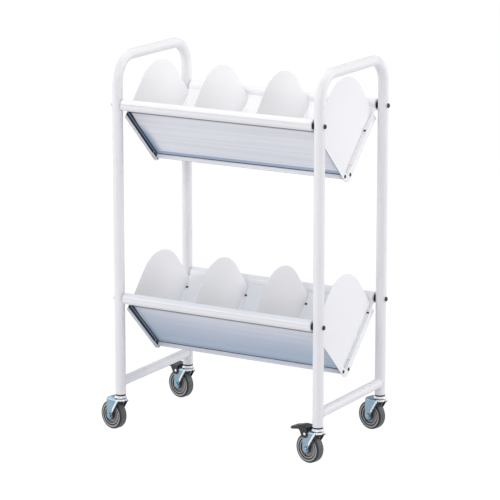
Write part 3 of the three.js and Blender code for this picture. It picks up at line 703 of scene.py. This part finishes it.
# %% [markdown]
# A fork is pressed from one sheet: a flat crown whose sides are folded down into two cheeks that
# taper to the axle. Seen along the trail it is a U whose legs change length, so it is worked out
# as that U carried along the trail. The front edge of each cheek is flared outwards to stiffen it.

# %% The fork's finish
FORK_METAL = 0.8


def build_fork_finish():
    """Zinc, mixed towards a painted white highlight where the stored edge value is high and towards
    painted black shade where it is negative, as the turned-in edge lies in its own shade."""
    finish = grained("pressed_fork_zinc", *ZINC_TONES, (0.2, 0.36), fine=600, coarse=55, bump=0.06)
    nodes, link = finish.node_tree.nodes, finish.node_tree.links.new
    edge = nodes.new("ShaderNodeAttribute")
    edge.attribute_name = "edge"
    bright = fade(finish.node_tree, edge.outputs["Fac"], 0.3, 0.6)
    black = fade(finish.node_tree, edge.outputs["Fac"], -0.3, -0.6)
    mix_tones(finish, ((bright, (0.95, 0.96, 0.97)), (black, (0.006, 0.007, 0.009))))
    dull = calc(finish.node_tree, "MAXIMUM", bright, black)
    metal = calc(finish.node_tree, "MULTIPLY", calc(finish.node_tree, "SUBTRACT", 1.0, dull),
                 FORK_METAL)
    link(metal, nodes["Principled BSDF"].inputs["Metallic"])
    return finish


FORK_ZINC = build_fork_finish()

# %% A pressed channel
LEAN_REACH = 0.0035


def pressed_channel(t, half_width, roof, skirt, corner, flare):
    """At each t, a U of points: up one cheek from the skirt height, round a corner, across the roof,
    and down again. The cheeks lean outwards by flare near the skirt."""
    rise = np.linspace(0, 1, 14)[:-1]
    turn = np.linspace(0, np.pi / 2, 8)
    t, w, top = (np.asarray(v, float)[:, None] for v in np.broadcast_arrays(t, half_width, roof))
    low = np.asarray(skirt, float)[:, None]
    knee = top - corner
    cheek_z = low + (knee - low) * rise
    lean = np.asarray(flare, float)[:, None] * np.exp(-(((cheek_z - low) / LEAN_REACH) ** 2))
    cheek_y = w + lean
    bend_y = w - corner + corner * np.cos(turn)
    bend_z = knee + corner * np.sin(turn)
    y = np.concatenate([cheek_y, bend_y], axis=1)
    z = np.concatenate([cheek_z, bend_z], axis=1)
    y = np.concatenate([y, -y[:, ::-1]], axis=1)
    z = np.concatenate([z, z[:, ::-1]], axis=1)
    points = np.stack([np.broadcast_to(t, y.shape), y, z], axis=-1)
    return points.reshape(-1, 3), grid_faces(*y.shape)


def thicken(piece, thickness=0.0024, ease=0.0005):
    """A wall of even thickness, half on each side of the surface, its edges eased."""
    wall = piece.modifiers.new("wall", "SOLIDIFY")
    wall.thickness = thickness
    wall.offset = 0
    ease_edges(piece, ease, 50)


# %% [markdown]
# The fork's skirt follows its outline from the side: level round the crown's front, a straight
# slant down to the axle eye, round the eye, and straight up at the back. On a braked caster the
# ends of the pedal's pivot show on both cheeks as rivets.

# %% Forks
EYE_R = 0.0092
EYE_FRONT = TRAIL - EYE_R
FORK_ROOF, FORK_HALF, FORK_CORNER = 0.0843, 0.0163, 0.0052
CROWN_R, NOSE = 0.0176, 0.0172
FRONT_LIP = FORK_ROOF - FORK_CORNER - 0.0006
SLANT_START = -0.009
FLARE, FLARE_RUN = 0.0016, 0.006
# Where the painted shade band and the painted highlight lie along the fork's edge.
CROWN_END, CROWN_BLACK, CHEEK_BLACK, BRIGHT_TOP = -0.007, 0.0022, 0.0075, 0.0165
EDGE_END, EDGE_SOFTNESS = TRAIL - 0.0086, 0.002


def fork_channel():
    """The skirt: a lip in front, a slant to the eye, and the eye's lower half circle."""
    front = -NOSE * np.cos(np.linspace(0, np.pi / 2, 14)[:-1]) - 0.0001
    slant = np.linspace(0, EYE_FRONT, 26)[1:-1]
    round_eye = TRAIL - EYE_R * np.cos(np.linspace(0, np.pi, 22))
    t = np.concatenate([front, slant, round_eye])
    crown = FORK_HALF * np.sqrt(np.clip(1 - (t / CROWN_R) ** 2, 0.03, 1))
    half = np.where(t < 0, crown, FORK_HALF)
    share = np.clip((t - SLANT_START) / (EYE_FRONT - SLANT_START), 0, 1)
    line = FRONT_LIP + (WHEEL_R - FRONT_LIP) * share
    circle = WHEEL_R - np.sqrt(np.clip(EYE_R**2 - (t - TRAIL) ** 2, 0, None))
    skirt = np.where(t < SLANT_START, FRONT_LIP, np.where(t < EYE_FRONT, line, circle))
    flare = np.where(t < EYE_FRONT, FLARE * np.clip((EYE_FRONT - t) / FLARE_RUN, 0, 1), 0)
    corner = np.minimum(FORK_CORNER, half * 0.9)[:, None]
    return (t, skirt), *pressed_channel(t, half, FORK_ROOF, skirt, corner, flare)


def edge_value(local, outline):
    """Height above the skirt: -1 at the very edge and 1 just above it, up to the axle eye."""
    # The -1 band takes painted shade and the 1 band a painted highlight in the fork's finish.
    above = local[:, 2] - np.interp(local[:, 0], *outline)
    front = np.clip((EDGE_END - local[:, 0]) / EDGE_SOFTNESS, 0, 1)
    black = np.where(local[:, 0] < CROWN_END, CROWN_BLACK, CHEEK_BLACK)
    value = np.where(above < black, -1.0, np.where(above < BRIGHT_TOP, 1.0, 0.0))
    return value * front


RIVET_PROFILE = np.array([[0, -3], [3.6, -3], [3.6, 0.4], [3.2, 0.9], [2.0, 1.2], [0, 1.3]]) / 1000
PIVOT = np.array([0.026, 0.0207, 0.0775])

for place, foot, braked in CASTERS:
    outline, points, faces = fork_channel()
    fork = make_piece(f"pressed_fork_{place}", placed(points, foot, CASTER_AXES), faces, FORK_ZINC,
                      f"swivel_{place}", [f"caster_fork_{place}"], crease=50)
    store_value(fork, "edge", edge_value((vertex_spots(fork) - foot) @ CASTER_AXES.T, outline))
    thicken(fork)
    if braked:
        points, faces = turned(RIVET_PROFILE, 28)
        ends = [(placed(points, foot + PIVOT * [1, sign, 1] @ CASTER_AXES,
                        AXLE_AXES * [[1], [1], [sign]]), faces) for sign in (-1, 1)]
        points, faces = joined(*ends)
        make_piece(f"pivot_rivets_{place}", points, faces, BRIGHT, f"swivel_{place}",
                   crease=30)
print("forks: 4")

# %% [markdown]
# The axle is a bolt with a rounded head on each side. On the real caster one end is a head and
# the other a nut, so one side gets six flats by pulling the round in at six places.

# %% Axles
AXLE_SEAT = 0.0178
AXLE_HEAD = np.array([[4.0, 0], [6.3, 0], [6.6, 0.3], [6.6, 2.6], [5.4, 3.6], [0, 3.9]]) / 1000
NUT_INNER = 0.005


def axle_bolt():
    """A turned pin with two heads; on the nut each radius is cut back to the flats of a hexagon."""
    head = AXLE_HEAD + [0, AXLE_SEAT]
    points, faces = turned(np.concatenate([head[::-1] * [1, -1], head]), 48)
    turn = np.arctan2(points[:, 1], points[:, 0])
    flats = np.cos(np.pi / 6) / np.cos((turn % (np.pi / 3)) - np.pi / 6)
    outside = np.hypot(points[:, 0], points[:, 1]) > NUT_INNER
    on_nut = (points[:, 2] < -AXLE_SEAT - 0.0001) & outside
    points[:, :2] *= np.where(on_nut, flats, 1.0)[:, None]
    return points, faces


for place, foot, _ in CASTERS:
    points, faces = axle_bolt()
    hub = foot + HUB
    make_piece(f"axle_bolt_{place}", placed(points, hub, AXLE_AXES), faces, ZINC,
               f"swivel_{place}", [f"caster_axle_{place}"], crease=30)
print("axles: 4")

# %% [markdown]
# A wheel is a moulded core with a dished web, and a solid tyre with two shallow grooves on each
# side. Both are turned about the axle, and both keep every point's distance from the axle for
# their material.

# %% Wheels
CORE_HALF = np.array([
    [25.0, 10.4], [24.2, 10.8], [22.4, 10.8], [21.6, 10.3], [20.2, 7.6], [19.2, 7.0], [15.0, 7.2],
    [11.6, 7.6], [10.4, 8.4], [9.8, 12.8], [9.2, 14.0], [5.0, 14.0], [4.3, 13.4]]) / 1000
TYRE_HALF = np.array([
    [37.5, 5.6], [37.35, 7.4], [36.9, 9.0], [36.0, 10.3], [34.9, 11.0], [34.6, 11.4], [33.4, 11.5],
    [31.9, 11.45], [31.6, 11.0], [30.4, 10.7], [29.2, 10.7], [28.8, 11.1], [27.6, 11.2],
    [26.0, 10.9], [25.4, 10.2], [25.3, 8.0]]) / 1000


def closed_turn(half, sides):
    """A profile and its mirror image make a closed loop, which is carried round the axle."""
    loop = np.concatenate([half, (half * [1, -1])[::-1]])
    points, _ = turned(loop, sides)
    return points, grid_faces(len(loop), sides, True, True)


for place, foot, _ in CASTERS:
    hub = foot + HUB
    points, faces = closed_turn(CORE_HALF, 56)
    core = make_piece(f"dished_core_{place}", placed(points, hub, AXLE_AXES), faces, CORE,
                      f"wheel_{place}", [f"wheel_core_{place}"], crease=35)
    points, faces = closed_turn(TYRE_HALF, 80)
    tyre = make_piece(f"ringed_tyre_{place}", placed(points, hub, AXLE_AXES), faces, RUBBER,
                      f"wheel_{place}", [f"tyre_{place}"], crease=40)
    for piece in (core, tyre):
        local = (vertex_spots(piece) - hub) @ CASTER_AXES.T
        store_value(piece, "from_axle", np.hypot(local[:, 0], local[:, 2]))
print("wheels: 4")

# %% [markdown]
# The brake pedal is another pressed channel. It straddles the fork, and its roof runs out to a
# foot plate that dips at the tip. The rubber pad under it keeps its solid, with eased edges.

# %% Brake pedals
PEDAL_START, PEDAL_KNEE, PEDAL_TIP = 0.0195, 0.026, 0.0755
PEDAL_ROOF, PEDAL_HALF, PEDAL_CORNER = 0.0921, 0.0194, 0.003
DIP_START, DIP_RUN, DIP = 0.046, 0.03, 0.0062
DEEP, DEEP_RISE, DEEP_END, DEEP_RUN = 0.0672, 0.006, 0.0235, 0.004
CLIMB_START, CLIMB_RUN, LIP_DEPTH = 0.033, 0.013, 0.0062
TIP_RISE, LEAST_LIP = 0.003, 0.0032
TAPER_START, TAPER_RUN, TAPER = 0.069, 0.0065, 0.0045
PAD_EASE = 0.0008


def smooth(share):
    """A smooth step of a share from 0 to 1: 3 s^2 - 2 s^3."""
    return share**2 * (3 - 2 * share)


def pedal_channel():
    """Roof: level, then a smooth dip to the tip. Skirt: deep round the pivot, then a narrow lip."""
    t = np.concatenate([np.linspace(PEDAL_START, PEDAL_KNEE, 8),
                        np.linspace(PEDAL_KNEE + 0.0015, PEDAL_TIP, 34)])
    reach = np.clip((t - DIP_START) / DIP_RUN, 0, 1)
    roof = PEDAL_ROOF - DIP * smooth(reach)
    deep = DEEP + DEEP_RISE * np.clip((DEEP_END - t) / DEEP_RUN, 0, 1) ** 2
    climb = np.clip((t - CLIMB_START) / CLIMB_RUN, 0, 1)
    skirt = deep + (roof - LIP_DEPTH - deep) * smooth(climb)
    skirt = np.minimum(skirt + TIP_RISE * reach**2, roof - LEAST_LIP)
    half = PEDAL_HALF - TAPER * np.clip((t - TAPER_START) / TAPER_RUN, 0, 1) ** 2.5
    return pressed_channel(t, half, roof, skirt, PEDAL_CORNER, np.zeros_like(t))


for place, foot, braked in CASTERS:
    if braked:
        points, faces = pedal_channel()
        pedal = make_piece(f"pressed_pedal_{place}", placed(points, foot, CASTER_AXES), faces,
                           BLACK_STEEL, f"pedal_{place}", [f"brake_pedal_{place}"],
                           crease=50)
        thicken(pedal)
        eased_copy(f"brake_pad_{place}", PAD_RUBBER, f"pedal_{place}", PAD_EASE)
print("pedals: 2")

# %% [markdown]
# Small black screws hold the dividers to the back walls and join the walls' ends in the valley.
# Their heads are low domes with a cross-shaped recess: the recess is a mask over the dome, deep
# where a point is close to one of two crossing lines and near the middle.

# %% Cross-recess screws
def screw_head(radius, height):
    """Height is a low ellipse over the disc; inside the cross it drops to a third."""
    rings = np.concatenate([[0], np.linspace(0.08, 1, 18)])[:, None]
    turn = np.linspace(0, 2 * np.pi, 48, endpoint=False)[None, :]
    x, y = rings * np.cos(turn), rings * np.sin(turn)
    dome = height * np.sqrt(np.clip(1.15 - rings**2, 0.02, None)) * np.ones_like(x)
    close = np.minimum(np.abs(x), np.abs(y))
    cross = np.clip((0.13 - close) / 0.04, 0, 1) * np.clip((0.62 - rings) / 0.06, 0, 1)
    z = dome - 0.62 * height * cross
    top = np.stack([radius * x, radius * y, z], axis=-1).reshape(-1, 3)
    skirt = np.stack([radius * np.cos(turn), radius * np.sin(turn), -0.0004 + 0 * turn], axis=-1)
    points = np.concatenate([top, skirt.reshape(-1, 3)])
    rows, cols = x.shape
    faces = grid_faces(rows + 1, cols, close_cols=True)
    faces.append(list(range(rows * cols, (rows + 1) * cols)))
    return points, faces


def wall_spot(height, side, slope, offset):
    """A spot on a trough wall: down the slope from the rail's axis, then towards the inside."""
    u = LEG_Y - COS * slope - SIN * offset
    return np.array([0, side * u, height + COS * offset - SIN * slope])


WALL_FACE, SHEET_GAP = 0.0071, 0.0003
DIVIDER_SCREW = (0.0031, 0.0016)
VALLEY_SCREW = (0.0046, 0.0018)
SCREW_SLOPE = {"lower": 0.052, "upper": 0.088}
VALLEY_SCREW_Y, VALLEY_SCREW_DEPTH = 0.0135, 0.152

heads = []
low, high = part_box("lower_divider_1")
flange = high[0] - low[0]
for tier, height in RAIL_Z.items():
    seat = wall_spot(height, 1, SCREW_SLOPE[tier], WALL_FACE + SHEET_GAP + SHEET_THICKNESS)
    axes = ((1, 0, 0), (0, COS, SIN), (0, -SIN, COS))
    for i in range(1, 5):
        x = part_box(f"{tier}_divider_{i}")[0][0] + flange * 0.58
        points, faces = screw_head(*DIVIDER_SCREW)
        heads.append((placed(points, seat + [x, 0, 0], axes), faces))
    for x_sign in (-1, 1):
        for y_sign in (-1, 1):
            spot = np.array([x_sign * (TROUGH_END + 0.0001), y_sign * VALLEY_SCREW_Y,
                             height - VALLEY_SCREW_DEPTH])
            points, faces = screw_head(*VALLEY_SCREW)
            turned_axes = ((0, 1, 0), (0, 0, x_sign), (x_sign, 0, 0))
            heads.append((placed(points, spot, turned_axes), faces))
points, faces = joined(*heads)
make_piece("cross_recess_screws", points, faces, BLACK_STEEL, "frame", crease=35)
print("screws:", len(heads))

# %% [markdown]
# The photograph was taken from the right and a little above, from far away with a long lens.

# %% Camera
ELEVATION, AZIMUTH = 13.27, 30.17
lens = bpy.data.cameras.new("view_from_right")
lens.sensor_width = 36
lens.lens = 196.3
camera = bpy.data.objects.new("view_from_right", lens)
camera.location = (3.387, -5.828, 2.067)
camera.rotation_euler = (math.radians(90 - ELEVATION), 0, math.radians(AZIMUTH))
scene.collection.objects.link(camera)
scene.camera = camera

# %% [markdown]
# The studio is a pale floor under soft light. To the camera and in reflections most of the floor
# is plain white; the rest is a real diffuse floor, which keeps the rack's shadow and sends soft
# light back up under the troughs.

# %% Floor
WHITE_SHARE = 0.95
FLOOR_HALF, FLOOR_DROP = 30, 0.0003


def build_floor_finish():
    """A diffuse floor mixed with white for camera, glossy and transmission rays."""
    finish = bpy.data.materials.new("pale_floor")
    finish.use_nodes = True
    nodes, link = finish.node_tree.nodes, finish.node_tree.links.new
    nodes.clear()
    rays = nodes.new("ShaderNodeLightPath")
    seen = calc(finish.node_tree, "MAXIMUM", *(rays.outputs[f"Is {kind} Ray"]
                                               for kind in ("Camera", "Glossy", "Transmission")))
    share = calc(finish.node_tree, "MULTIPLY", seen, WHITE_SHARE)
    matte = nodes.new("ShaderNodeBsdfDiffuse")
    matte.inputs["Color"].default_value = (0.74, 0.74, 0.785, 1)
    white = nodes.new("ShaderNodeEmission")
    white.inputs["Strength"].default_value = 1.05
    mix, leave = nodes.new("ShaderNodeMixShader"), nodes.new("ShaderNodeOutputMaterial")
    link(share, mix.inputs[0])
    link(matte.outputs[0], mix.inputs[1])
    link(white.outputs[0], mix.inputs[2])
    link(mix.outputs[0], leave.inputs["Surface"])
    return finish


floor_mesh = bpy.data.meshes.new("floor")
corners = FLOOR_HALF * np.array([[-1, -1, 0], [1, -1, 0], [1, 1, 0], [-1, 1, 0]]) - [0, 0, FLOOR_DROP]
floor_mesh.from_pydata(corners.tolist(), [], [[0, 1, 2, 3]])
floor_mesh.materials.append(build_floor_finish())
floor = bpy.data.objects.new("floor", floor_mesh)
scene.collection.objects.link(floor)

# %% [markdown]
# Five large soft lamps stand round the rack and over it, so that no side is left dark. The world
# adds an even, slightly cool light, and to the camera it is as white as the floor.

# %% Lamps and world
LAMP_TARGET = (0, 0, 0.65)


def soft_lamp(name, spot, size, power):
    """A square area lamp at a spot, turned to face the middle of the rack."""
    lamp = bpy.data.lights.new(name, "AREA")
    lamp.shape = "SQUARE"
    lamp.size = size
    lamp.energy = power
    holder = bpy.data.objects.new(name, lamp)
    holder.location = spot
    aim = Vector(LAMP_TARGET) - Vector(spot)
    holder.rotation_euler = aim.to_track_quat("-Z", "Y").to_euler()
    scene.collection.objects.link(holder)


soft_lamp("front_high", (0.9, -2.6, 1.9), 1.6, 30)
soft_lamp("front_left", (-2.6, -1.5, 1.2), 2.0, 27)
soft_lamp("back_right", (2.4, 1.8, 1.3), 2.0, 37)
soft_lamp("back_left", (-2.4, 1.2, 1.5), 2.0, 22)
soft_lamp("overhead", (0.1, 0.2, 2.9), 1.8, 20)

world = bpy.data.worlds.new("studio")
world.use_nodes = True
air_nodes, air_link = world.node_tree.nodes, world.node_tree.links.new
air = air_nodes["Background"]
air.inputs["Color"].default_value = (0.95, 0.97, 1.0, 1)
air.inputs["Strength"].default_value = 0.53
backdrop, choose = air_nodes.new("ShaderNodeBackground"), air_nodes.new("ShaderNodeMixShader")
backdrop.inputs["Color"].default_value = (1, 1, 1, 1)
air_link(air_nodes.new("ShaderNodeLightPath").outputs["Is Camera Ray"], choose.inputs[0])
air_link(air.outputs[0], choose.inputs[1])
air_link(backdrop.outputs[0], choose.inputs[2])
air_link(choose.outputs[0], air_nodes["World Output"].inputs["Surface"])
scene.world = world
scene.view_settings.view_transform = "Standard"
print("lamps:", len(bpy.data.lights))
